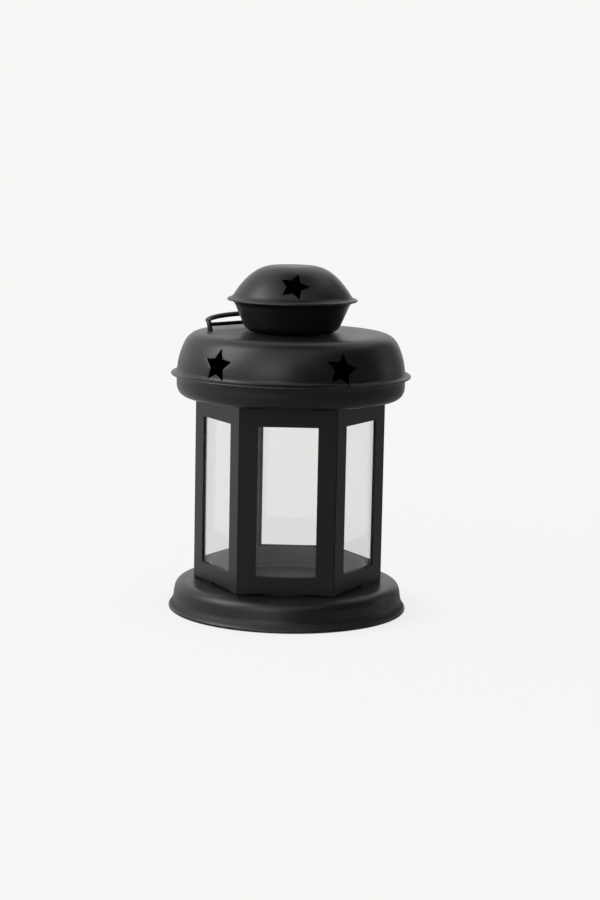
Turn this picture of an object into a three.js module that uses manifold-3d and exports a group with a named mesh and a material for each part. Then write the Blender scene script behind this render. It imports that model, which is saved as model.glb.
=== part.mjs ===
// A six-sided candle lantern of thin painted sheet steel and glass, whose upper part lifts straight off the base.
// Millimetres, +Z up. The origin is the middle of the foot's underside, and the first window faces -Y.
import * as THREE from "three";
import { mergeVertices } from "three/addons/utils/BufferGeometryUtils.js";
import Module from "manifold-3d";

const wasm = await Module();
wasm.setup();

// Stock and fits
const SHEET = 0.6; // thickness of the sheet steel
const CLEAR = 0.25; // gap left between pieces that seat on each other
const TURN_STEPS = 36; // facets round a spun piece
const CURVE_STEP = 3; // length of rounded profile that one more facet is given to
const MOST_CURVE_STEPS = 5;
const ARCH_STEPS = 8; // facets along the panels' arched edge and along the handle's loop
const SAME_POINT = 1e-3; // points closer than this are one point

// Base
const BASE_HEIGHT = 17.2;
const BASE_OVERHANG = 15.05; // how far the rim stands out past the body's corners
const BASE_LEDGE = 2.55; // how far it stands out past the foot of the wall
const BASE_WALL_LEVEL = 4.7; // height of the foot of the wall
const BASE_WALL_LEAN = 1.75; // how far the wall leans in up to the shoulder
const BASE_SHOULDER_ROUND = 6;
const BASE_ROLL = 2.2; // height of the rolled rim
const BASE_FOOT = 2.6; // width of the rolled rim's underside
const RECESS_DEPTH = 1.8; // sunk floor inside the six panels
const RECESS_MARGIN = 0.9; // room between the recess and the collar in it
const RECESS_ROUND = 0.8;
const COLLAR_HEIGHT = 12.6;
const COLLAR_FLANGE = 4;

// Six-sided body
const SIDES = 6;
const BODY_APOTHEM = 49.85; // from the axis to the face of a panel
const BODY_HEIGHT = 112.25;
const PANEL_LIP_LEVEL = 2.6; // height of the lower lip above the panel's feet
const PANEL_ARCH = 1.3; // rise of the arched lower edge
const PANEL_FOOT = 3; // flat part of the lower edge beside each corner
const WINDOW_WIDTH = 35.3;
const LOWER_RAIL = 11.25; // from the panel's feet to the window
const UPPER_RAIL = 11.5; // from the window to the panel's top
const PANE_THICKNESS = 2;
const PANE_INSET = 3.1; // from a pane's edge to the corner where the backs of two panes would meet
const KEEPER_WING = 7.5; // length of a keeper's wing behind the pane

// Roof
const ROOF_OVERHANG = 15.05; // how far the rim stands out past the body's corners
const ROOF_LEDGE = 3.4; // how far it stands out past the walls above and below it
const PAN_RING = 5.85; // how far the pan reaches inside the panels
const PAN_CORNER_ROUND = 8.5;
const PAN_FLARE_ROUND = 3;
const PAN_DEPTH = 13.4;
const DOME_HEIGHT = 24.6; // from the rim to the flat top
const DOME_WALL_ROUND = 2.6;
const DOME_HAUNCH_LEAN = 1.1; // how far the wall has leaned in at the haunch
const DOME_HAUNCH_RISE = 10.2; // height of the haunch above the rim
const DOME_HAUNCH_ROUND = 7;
const DOME_SHOULDER_LEAN = 7.5; // how far it has leaned in at the shoulder
const DOME_SHOULDER_ROUND = 8;
const VENT_RADIUS = 17.8;

// Neck and cap
const NECK_HEIGHT = 18.75;
const NECK_FOOT_RADIUS = 27.5;
const NECK_FOOT_ROUND = 5;
const NECK_LEDGE = 3.8; // how far the cap's rim stands out past the top of the neck
const NECK_FLARE_ROUND = 3.6;
const SPIGOT_DROP = 3; // how far the neck reaches below the roof's sheet
const CAP_HEIGHT = 19.65; // from the rim to the crown
const CAP_RIM_RADIUS = 39.3;
const CAP_LEDGE = 2.7; // how far its rim stands out past its wall
const CAP_WALL_ROUND = 2.6;
const CAP_WALL_LEAN = 12.5; // how far the wall's line leans in up to the level of the crown
const CAP_WALL_SWEEP = 20; // how far down the wall its curve starts
const CAP_CROWN_SWEEP = 13; // how far in on the crown it ends

// Star-shaped vents, with bearings from the front round to the right
const STAR_INNER_SHARE = 0.5; // inner radius of a star over its tip radius
const PUNCH_DEPTH = 20;
const ROOF_STARS = 5;
const ROOF_STAR_TIP = 9.9;
const ROOF_STAR_RISE = 9.1; // centre above the roof's rim
const ROOF_STAR_BEARING = 27.1;
const ROOF_STAR_SPACING = 73.65; // from each star to the next, which leaves the last gap narrower
const ROOF_STAR_TILT = 12.7; // degrees clockwise that the first star is turned
const ROOF_STAR_DRIFT = 2.8; // how much less each star is turned than the one before it
const CAP_STARS = 3;
const CAP_STAR_TIP = 9.2;
const CAP_STAR_RISE = 9.35; // centre above the cap's rim
const CAP_STAR_BEARING = 3.2;
const CAP_STAR_SPACING = 120;
const CAP_STAR_TILT = 16;
const CAP_PUNCH_PITCH = 20; // degrees that the punch tips up to meet the sloping cap

// Wire handle, swinging in two holes of the roof
const WIRE_DIAMETER = 3;
const WIRE_SIDES = 8;
const WIRE_STEPS = 64;
const HANDLE_HOLE_DIAMETER = 5;
const HANDLE_INSET = 4.55; // from the edge of the roof's flat top in to the middle of each hole
const HANDLE_BEARING = 135; // direction of the loop's middle, from +X
const HANDLE_SPREAD = 45; // angle from that direction to each hole
const HANDLE_REACH = 11.5; // from the hinge line to the far end of the loop
const HANDLE_LEAN = 17; // degrees that the legs lean outwards at rest
const HANDLE_LEG_RISE = 5; // from the roof's sheet to the bend
const HANDLE_LIFT = 2.8; // rise of the loop from the bend to its far end
const BRACE_DIAMETER = 2.4; // straight wire between the legs
const BRACE_SHARE = 0.74; // its height over that of the bend
const HANDLE_FOOT_DROP = 3.2; // from the roof's sheet to the foot under it
const HANDLE_FOOT_LENGTH = 6;

// Levels, stacked from the table upwards
const recessFloor = BASE_HEIGHT - RECESS_DEPTH;
const panelFoot = BASE_HEIGHT + CLEAR;
const panelTop = panelFoot + BODY_HEIGHT;
const panBottom = panelTop + CLEAR;
const roofSeam = panBottom + PAN_DEPTH; // underside of the flange that the roof's rim lies on
const roofRimTop = roofSeam + 2 * SHEET + CLEAR;
const roofTop = roofRimTop + DOME_HEIGHT;
const neckBottom = roofTop + CLEAR;
const capSeam = neckBottom + NECK_HEIGHT; // underside of the flange that the cap's rim lies on
const capRimTop = capSeam + 2 * SHEET + CLEAR;
const capTop = capRimTop + CAP_HEIGHT;

// Radii and depths that seated pieces share
const sideAngle = (2 * Math.PI) / SIDES;
const halfSide = sideAngle / 2;
const radians = THREE.MathUtils.degToRad;
const bodyCorner = BODY_APOTHEM / Math.cos(halfSide);
const baseRim = bodyCorner + BASE_OVERHANG;
const baseWall = baseRim - BASE_LEDGE;
const roofRim = bodyCorner + ROOF_OVERHANG;
const roofWall = roofRim - ROOF_LEDGE;
const roofShoulder = roofWall - DOME_SHOULDER_LEAN;
const capWall = CAP_RIM_RADIUS - CAP_LEDGE;
const handleHoleReach = roofShoulder - DOME_SHOULDER_ROUND - HANDLE_INSET;
const paneFace = BODY_APOTHEM - SHEET - CLEAR;
const paneBack = paneFace - PANE_THICKNESS;
const lipDepth = BODY_APOTHEM - paneBack; // the lips reach in as far as the panes that stand on them
const collarRadius = paneBack - CLEAR;
const recessRadius = collarRadius + RECESS_MARGIN;
const paneBottom = panelFoot + PANEL_LIP_LEVEL + SHEET + CLEAR;
const paneTop = panelTop - SHEET - CLEAR;

// Each piece has a material of its own, in one of two finishes.
function paint() {
  return new THREE.MeshStandardMaterial({ color: 0x202021, roughness: 0.42, metalness: 0 });
}

function glass() {
  return new THREE.MeshStandardMaterial({
    color: 0xf2f5f4,
    roughness: 0.04,
    metalness: 0,
    transparent: true,
    opacity: 0.18,
  });
}

function piece(name, geometry, material) {
  const mesh = new THREE.Mesh(geometry, material);
  mesh.name = name;
  return mesh;
}

// Joining and cutting closed shapes
function solidOf(geometry) {
  const bare = geometry.clone();
  bare.deleteAttribute("normal");
  bare.deleteAttribute("uv");
  const merged = mergeVertices(bare, SAME_POINT);
  const corners = merged.index.array;
  const triangles = [];
  for (let i = 0; i < corners.length; i += 3) {
    const [a, b, c] = corners.slice(i, i + 3);
    if (a !== b && b !== c && c !== a) triangles.push(a, b, c);
  }
  return new wasm.Manifold(
    new wasm.Mesh({
      numProp: 3,
      vertProperties: merged.attributes.position.array,
      triVerts: new Uint32Array(triangles),
    }),
  );
}

function geometryOf(solid) {
  const mesh = solid.getMesh();
  const geometry = new THREE.BufferGeometry();
  geometry.setAttribute("position", new THREE.BufferAttribute(mesh.vertProperties, 3));
  geometry.setIndex(new THREE.BufferAttribute(mesh.triVerts, 1));
  geometry.computeVertexNormals();
  return geometry;
}

// A corner of a profile, rounded from a length before it to a length after it
function corner(radius, level, before = 0, after = before) {
  return { at: new THREE.Vector2(radius, level), before, after };
}

// The outer line of a spun sheet through its rounded corners
function profileLine(corners) {
  const points = corners.flatMap(({ at, before, after }, i) => {
    if (before === 0) return [at];
    const entry = corners[i - 1].at.clone().sub(at).setLength(before).add(at);
    const exit = corners[i + 1].at.clone().sub(at).setLength(after).add(at);
    const steps = Math.min(1 + Math.ceil(before / CURVE_STEP), MOST_CURVE_STEPS);
    return new THREE.QuadraticBezierCurve(entry, at, exit).getPoints(steps);
  });
  return points.filter((point, i) => i === 0 || point.distanceTo(points[i - 1]) > SAME_POINT);
}

// The same line moved to the sheet's other side, which lies on the left of its direction
function offsetLine(line, distance) {
  const leftOf = (from, to) => {
    const along = to.clone().sub(from).normalize();
    return new THREE.Vector2(-along.y, along.x);
  };
  return line.map((point, i) => {
    const back = leftOf(line[Math.max(i - 1, 0)], line[Math.max(i, 1)]);
    const ahead = leftOf(line[Math.min(i, line.length - 2)], line[Math.min(i + 1, line.length - 1)]);
    const mitre = back.clone().add(ahead).divideScalar(1 + back.dot(ahead));
    return point.clone().addScaledVector(mitre, distance);
  });
}

// A piece spun from sheet, from its outer line
function spunSheet(line) {
  const outline = [...line, ...offsetLine(line, SHEET).reverse(), line[0].clone()];
  return new THREE.LatheGeometry(outline, TURN_STEPS).rotateX(Math.PI / 2);
}

// Radius of a profile line at a level, on its last pass
function radiusAt(line, level) {
  const i = line.findLastIndex((point, k) => k > 0 && line[k - 1].y < level && point.y >= level);
  const [low, high] = [line[i - 1], line[i]];
  return THREE.MathUtils.mapLinear(level, low.y, high.y, low.x, high.x);
}

// Star-shaped punches set round a spun piece
function starPunches({ count, bearing, spacing, tip, tilt, drift, radius, level, pitch }) {
  const points = Array.from({ length: 10 }, (_, i) => {
    const reach = i % 2 === 0 ? tip : tip * STAR_INNER_SHARE;
    const angle = Math.PI / 2 + (i * Math.PI) / 5;
    return new THREE.Vector2(reach * Math.cos(angle), reach * Math.sin(angle));
  });
  const star = new THREE.Shape(points);
  return Array.from({ length: count }, (_, i) => {
    const punch = new THREE.ExtrudeGeometry(star, { depth: PUNCH_DEPTH, bevelEnabled: false });
    punch.rotateZ(radians(i * drift - tilt));
    punch.translate(0, 0, -PUNCH_DEPTH / 2);
    punch.rotateX(Math.PI / 2 - radians(pitch));
    punch.translate(0, -radius, level);
    punch.rotateZ(radians(bearing + i * spacing));
    return solidOf(punch);
  });
}

// A bar of constant section standing on a level
function standing(shape, bottom, height) {
  return new THREE.ExtrudeGeometry(shape, { depth: height, bevelEnabled: false }).translate(0, 0, bottom);
}

function baseShell() {
  const line = profileLine([
    corner(baseRim - BASE_FOOT, 0),
    corner(baseRim, 0, BASE_ROLL / 2),
    corner(baseRim, BASE_ROLL, BASE_ROLL / 2),
    corner(baseWall, BASE_WALL_LEVEL, BASE_ROLL / 2),
    corner(baseWall - BASE_WALL_LEAN, BASE_HEIGHT, BASE_SHOULDER_ROUND),
    corner(recessRadius, BASE_HEIGHT, RECESS_ROUND),
    corner(recessRadius, recessFloor, RECESS_ROUND),
    corner(0, recessFloor),
  ]);
  return piece("base_shell", spunSheet(line), paint());
}

// An angle ring standing in the recess, inside the lips of the panels
function baseCollar() {
  const bottom = recessFloor + CLEAR;
  const line = profileLine([
    corner(collarRadius - COLLAR_FLANGE, bottom),
    corner(collarRadius, bottom, 2 * SHEET),
    corner(collarRadius, bottom + COLLAR_HEIGHT),
  ]);
  return piece("base_collar", spunSheet(line), paint());
}

// One side of the body, facing -Y: a face with its window, two lips, and edges mitred to meet the next sides
function panelGeometry() {
  const half = BODY_APOTHEM * Math.tan(halfSide);
  const face = new THREE.Shape();
  face.moveTo(-half, 0);
  face.lineTo(PANEL_FOOT - half, 0);
  face.quadraticCurveTo(0, 2 * PANEL_ARCH, half - PANEL_FOOT, 0);
  face.lineTo(half, 0);
  face.lineTo(half, BODY_HEIGHT);
  face.lineTo(-half, BODY_HEIGHT);
  const window = new THREE.Path();
  window.moveTo(-WINDOW_WIDTH / 2, LOWER_RAIL);
  window.lineTo(-WINDOW_WIDTH / 2, BODY_HEIGHT - UPPER_RAIL);
  window.lineTo(WINDOW_WIDTH / 2, BODY_HEIGHT - UPPER_RAIL);
  window.lineTo(WINDOW_WIDTH / 2, LOWER_RAIL);
  face.holes.push(window);
  const sheet = new THREE.ExtrudeGeometry(face, { depth: SHEET, bevelEnabled: false, curveSegments: ARCH_STEPS });
  sheet.rotateX(Math.PI / 2).translate(0, SHEET - BODY_APOTHEM, panelFoot);

  const lip = new THREE.BoxGeometry(2 * half, lipDepth, SHEET).translate(0, lipDepth / 2 - BODY_APOTHEM, SHEET / 2);
  const lowerLip = lip.clone().translate(0, 0, panelFoot + PANEL_LIP_LEVEL);
  const upperLip = lip.clone().translate(0, 0, panelTop - SHEET);

  const mitre = new THREE.Shape();
  const tip = CLEAR / 2 / Math.sin(halfSide);
  const far = 2 * BODY_APOTHEM;
  mitre.moveTo(0, -tip);
  mitre.lineTo(-(far - tip) * Math.tan(halfSide), -far);
  mitre.lineTo((far - tip) * Math.tan(halfSide), -far);
  const sector = standing(mitre, 0, 2 * panelTop);

  return geometryOf(solidOf(sheet).add(solidOf(lowerLip)).add(solidOf(upperLip)).intersect(solidOf(sector)));
}

function paneGeometry() {
  const height = paneTop - paneBottom;
  const width = 2 * (paneBack * Math.tan(halfSide) - PANE_INSET);
  return new THREE.BoxGeometry(width, PANE_THICKNESS, height)
    .translate(0, -(paneFace + paneBack) / 2, paneBottom + height / 2);
}

// A folded strip in the corner that points to -Y: two wings behind the panes' edges and a web between them
function keeperGeometry() {
  const outer = paneBack - CLEAR;
  const normal = new THREE.Vector2(Math.sin(halfSide), -Math.cos(halfSide));
  const along = new THREE.Vector2(Math.cos(halfSide), Math.sin(halfSide));
  const fold = (apothem) => new THREE.Vector2(0, -apothem / Math.cos(halfSide));
  const webTip = new THREE.Vector2(
    SHEET,
    -(BODY_APOTHEM - SHEET - CLEAR - SHEET * Math.sin(halfSide)) / Math.cos(halfSide),
  );
  const webRoot = fold(outer).addScaledVector(along, SHEET / along.x);
  const wingEnd = fold(outer).addScaledVector(along, KEEPER_WING);
  const wingBack = wingEnd.clone().addScaledVector(normal, -SHEET);
  const rightSide = [webTip, webRoot, wingEnd, wingBack];
  const leftSide = rightSide.map((point) => new THREE.Vector2(-point.x, point.y)).reverse();
  const section = new THREE.Shape([...rightSide, fold(outer - SHEET), ...leftSide]);
  return standing(section, paneBottom, paneTop - paneBottom);
}

function bodySides() {
  const sides = new THREE.Group();
  for (let i = 0; i < SIDES; i += 1) {
    const side = new THREE.Group();
    side.rotation.z = i * sideAngle;
    const keeper = piece(`corner_keeper_${i + 1}`, keeperGeometry(), paint());
    keeper.rotation.z = halfSide;
    side.add(
      piece(`side_panel_${i + 1}`, panelGeometry(), paint()),
      piece(`glass_pane_${i + 1}`, paneGeometry(), glass()),
      keeper,
    );
    sides.add(side);
  }
  return sides;
}

function roofPan() {
  const line = profileLine([
    corner(BODY_APOTHEM - PAN_RING, panBottom),
    corner(roofWall, panBottom, PAN_CORNER_ROUND),
    corner(roofWall, roofSeam, PAN_FLARE_ROUND),
    corner(roofRim, roofSeam),
  ]);
  return piece("roof_pan", spunSheet(line), paint());
}

// Middle of the hinge line between the two holes of the handle
const hingeReach = handleHoleReach * Math.cos(radians(HANDLE_SPREAD));
const hingeHalf = handleHoleReach * Math.sin(radians(HANDLE_SPREAD));

function roofDome() {
  const line = profileLine([
    corner(roofRim, roofRimTop),
    corner(roofWall, roofRimTop, DOME_WALL_ROUND),
    corner(roofWall - DOME_HAUNCH_LEAN, roofRimTop + DOME_HAUNCH_RISE, DOME_HAUNCH_ROUND),
    corner(roofShoulder, roofTop, DOME_SHOULDER_ROUND),
    corner(VENT_RADIUS, roofTop),
  ]);
  const starLevel = roofRimTop + ROOF_STAR_RISE;
  const punches = starPunches({
    count: ROOF_STARS,
    bearing: ROOF_STAR_BEARING,
    spacing: ROOF_STAR_SPACING,
    tip: ROOF_STAR_TIP,
    tilt: ROOF_STAR_TILT,
    drift: ROOF_STAR_DRIFT,
    radius: radiusAt(line, starLevel),
    level: starLevel,
    pitch: 0,
  });
  const drill = new THREE.CylinderGeometry(
    HANDLE_HOLE_DIAMETER / 2, HANDLE_HOLE_DIAMETER / 2, HANDLE_HOLE_DIAMETER, 2 * WIRE_SIDES,
  );
  drill.rotateX(Math.PI / 2).translate(handleHoleReach, 0, roofTop);
  const drills = [HANDLE_SPREAD, -HANDLE_SPREAD].map((spread) =>
    solidOf(drill.clone().rotateZ(radians(HANDLE_BEARING + spread))),
  );
  const cut = [...punches, ...drills].reduce((rest, tool) => rest.subtract(tool), solidOf(spunSheet(line)));
  return piece("roof_dome", geometryOf(cut), paint());
}

function neckCup() {
  const spigotRadius = VENT_RADIUS - CLEAR;
  const line = profileLine([
    corner(spigotRadius, roofTop - SHEET - SPIGOT_DROP),
    corner(spigotRadius, neckBottom),
    corner(NECK_FOOT_RADIUS, neckBottom, NECK_FOOT_ROUND),
    corner(CAP_RIM_RADIUS - NECK_LEDGE, capSeam, NECK_FLARE_ROUND),
    corner(CAP_RIM_RADIUS, capSeam),
  ]);
  return piece("neck_cup", spunSheet(line), paint());
}

function capDome() {
  const line = profileLine([
    corner(CAP_RIM_RADIUS, capRimTop),
    corner(capWall, capRimTop, CAP_WALL_ROUND),
    corner(capWall - CAP_WALL_LEAN, capTop, CAP_WALL_SWEEP, CAP_CROWN_SWEEP),
    corner(0, capTop),
  ]);
  const starLevel = capRimTop + CAP_STAR_RISE;
  const punches = starPunches({
    count: CAP_STARS,
    bearing: CAP_STAR_BEARING,
    spacing: CAP_STAR_SPACING,
    tip: CAP_STAR_TIP,
    tilt: CAP_STAR_TILT,
    drift: 0,
    radius: radiusAt(line, starLevel),
    level: starLevel,
    pitch: CAP_PUNCH_PITCH,
  });
  const cut = punches.reduce((rest, punch) => rest.subtract(punch), solidOf(spunSheet(line)));
  return piece("cap_dome", geometryOf(cut), paint());
}

// A wire loop lying over the roof, with a straight wire between its legs: x along the hinge line, y away from
// the axis, z up from the roof's sheet
function handleLoop() {
  const lean = Math.tan(radians(HANDLE_LEAN));
  const bendReach = HANDLE_LEG_RISE * lean;
  const footSetback = -HANDLE_FOOT_DROP * lean;
  const leg = [
    new THREE.Vector3(hingeHalf - HANDLE_FOOT_LENGTH, footSetback, -HANDLE_FOOT_DROP),
    new THREE.Vector3(hingeHalf - WIRE_DIAMETER / 2, footSetback, -HANDLE_FOOT_DROP),
    new THREE.Vector3(hingeHalf, 0, 0),
  ];
  const arch = Array.from({ length: ARCH_STEPS + 1 }, (_, i) => {
    const turn = (i * Math.PI) / ARCH_STEPS;
    return new THREE.Vector3(
      hingeHalf * Math.cos(turn),
      bendReach + (HANDLE_REACH - bendReach) * Math.sin(turn),
      HANDLE_LEG_RISE + HANDLE_LIFT * Math.sin(turn),
    );
  });
  const otherLeg = leg.map((point) => new THREE.Vector3(-point.x, point.y, point.z)).reverse();
  const route = new THREE.CatmullRomCurve3([...leg, ...arch, ...otherLeg]);
  const section = new THREE.Shape(
    Array.from({ length: WIRE_SIDES }, (_, i) => {
      const angle = (i * 2 * Math.PI) / WIRE_SIDES;
      return new THREE.Vector2(Math.cos(angle), Math.sin(angle)).multiplyScalar(WIRE_DIAMETER / 2);
    }),
  );
  const wire = new THREE.ExtrudeGeometry(section, { steps: WIRE_STEPS, extrudePath: route });
  const brace = new THREE.CylinderGeometry(BRACE_DIAMETER / 2, BRACE_DIAMETER / 2, 2 * hingeHalf, WIRE_SIDES);
  brace.rotateZ(Math.PI / 2).translate(0, bendReach * BRACE_SHARE, HANDLE_LEG_RISE * BRACE_SHARE);
  const loop = piece("handle_loop", geometryOf(solidOf(wire).add(solidOf(brace))), paint());
  const bearing = radians(HANDLE_BEARING);
  loop.position.set(hingeReach * Math.cos(bearing), hingeReach * Math.sin(bearing), roofTop - SHEET / 2);
  loop.rotation.z = bearing - Math.PI / 2;
  return loop;
}

const base = new THREE.Group();
base.add(baseShell(), baseCollar());

const upper = new THREE.Group();
upper.add(bodySides(), roofPan(), roofDome(), neckCup(), capDome(), handleLoop());

const lantern = new THREE.Group();
lantern.add(base, upper);

export default lantern;
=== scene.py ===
"""A six-sided candle lantern of satin black sheet steel with clear glass sides, standing in a pale studio."""

import logging
import math
from dataclasses import dataclass, replace
from enum import Enum
from typing import Callable, Iterable, Sequence

import bmesh
import bpy
from mathutils import Euler, Matrix, Vector


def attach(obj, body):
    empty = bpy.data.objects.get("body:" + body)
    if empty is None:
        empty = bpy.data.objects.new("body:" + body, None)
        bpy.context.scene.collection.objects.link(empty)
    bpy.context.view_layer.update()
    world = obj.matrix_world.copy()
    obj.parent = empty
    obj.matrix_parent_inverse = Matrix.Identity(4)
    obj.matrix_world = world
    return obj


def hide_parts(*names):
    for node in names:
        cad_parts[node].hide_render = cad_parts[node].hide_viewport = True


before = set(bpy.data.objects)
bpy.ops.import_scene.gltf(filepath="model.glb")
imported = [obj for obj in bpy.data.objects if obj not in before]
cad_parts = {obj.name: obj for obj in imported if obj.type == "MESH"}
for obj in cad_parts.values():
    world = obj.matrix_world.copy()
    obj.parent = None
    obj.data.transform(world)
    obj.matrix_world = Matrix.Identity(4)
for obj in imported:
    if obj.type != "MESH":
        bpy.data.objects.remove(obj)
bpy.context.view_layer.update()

LOG = logging.getLogger("lantern")
Colour = tuple[float, float, float]
Place = tuple[float, float, float]
Line = list[Vector]

# A millimetre in metres, and how close a point must lie to count as on a line.
MM = 0.001
NEAR = 0.01 * MM


class Body(Enum):
    """The moving groups of the lantern."""

    BASE = "base"
    UPPER = "upper"
    HANDLE = "handle"


class Slot(Enum):
    """The finishes that the record names."""

    PAINT = "black_paint"
    GLASS = "clear_glass"


class ShadeInside(Enum):
    """Where painted shade darkens a spun sheet, by the way that its inside faces."""

    NONE = 0.0
    UNDER_DOME = -1.0
    IN_CUP = 1.0


class Part(Enum):
    """What a selection in edit mode is made of."""

    POINT = "VERT"
    EDGE = "EDGE"
    FACE = "FACE"


class Value:
    """A socket whose arithmetic adds Math nodes."""

    def __init__(self, net: "Net", socket: bpy.types.NodeSocket) -> None:
        """Keeps the socket and the net it belongs to."""
        self.net = net
        self.socket = socket

    def math(self, operation: str, *operands: "Value | float") -> "Value":
        """The result of a Math node's operation on operands, in order."""
        return self.net.node("ShaderNodeMath", {"operation": operation}, dict(enumerate(operands)))

    def __add__(self, other: "Value | float") -> "Value":
        """Sum."""
        return self.math("ADD", self, other)

    __radd__ = __add__

    def __sub__(self, other: "Value | float") -> "Value":
        """Difference."""
        return self.math("SUBTRACT", self, other)

    def __rsub__(self, other: float) -> "Value":
        """Difference from a number."""
        return self.math("SUBTRACT", other, self)

    def __mul__(self, other: "Value | float") -> "Value":
        """Product."""
        return self.math("MULTIPLY", self, other)

    __rmul__ = __mul__

    def highest(self, other: "Value | float") -> "Value":
        """The greater of two values."""
        return self.math("MAXIMUM", self, other)

    def between(self, low: float, high: float) -> "Value":
        """A smooth step from 0 at the low value to 1 at the high one."""
        return self.net.node(
            "ShaderNodeMapRange",
            {"interpolation_type": "SMOOTHSTEP"},
            {"Value": self, "From Min": low, "From Max": high},
        )


class Net:
    """The node tree of one material or of the world."""

    def __init__(self, tree: bpy.types.NodeTree) -> None:
        """Empties the tree."""
        self.tree = tree
        tree.nodes.clear()

    def node(
        self,
        kind: str,
        settings: dict[str, object] | None = None,
        inputs: dict[str | int, object] | None = None,
        output: str | int = 0,
    ) -> Value:
        """Makes a node.

        Args:
            kind: The node's type.
            settings: Its properties, set first.
            inputs: Values or links of its sockets.
            output: The socket that is handed on.

        Returns:
            That socket.
        """
        node = self.tree.nodes.new(kind)
        for name, setting in (settings or {}).items():
            setattr(node, name, setting)
        for name, value in (inputs or {}).items():
            if isinstance(value, Value):
                self.tree.links.new(value.socket, node.inputs[name])
            else:
                node.inputs[name].default_value = value
        return Value(self, node.outputs[output]) if node.outputs else Value(self, node.inputs[0])

    def place(self) -> Value:
        """The point on the piece, in metres."""
        return self.node("ShaderNodeTexCoord", output="Object")

    def noise(self, at: Value, scale: float, detail: float = 2.0, roughness: float = 0.5) -> Value:
        """Fractal noise about 0.5: grains per metre, octaves and the weight of the finer ones."""
        inputs = {"Vector": at, "Scale": scale, "Detail": detail, "Roughness": roughness}
        return self.node("ShaderNodeTexNoise", inputs=inputs)

    def blend(self, share: Value, first: object, second: object) -> Value:
        """A colour between two, each a value or four numbers, by a share."""
        return self.node("ShaderNodeMix", {"data_type": "RGBA"}, {0: share, 6: first, 7: second}, output=2)

    def finish(self, shader: Value) -> None:
        """Connects the surface."""
        self.node("ShaderNodeOutputMaterial", inputs={"Surface": shader})


def new_material(name: str) -> tuple[bpy.types.Material, Net]:
    """A material with an empty tree.

    Args:
        name: Its name.

    Returns:
        The material and its net.
    """
    material = bpy.data.materials.new(name)
    material.use_nodes = True
    return material, Net(material.node_tree)


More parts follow.
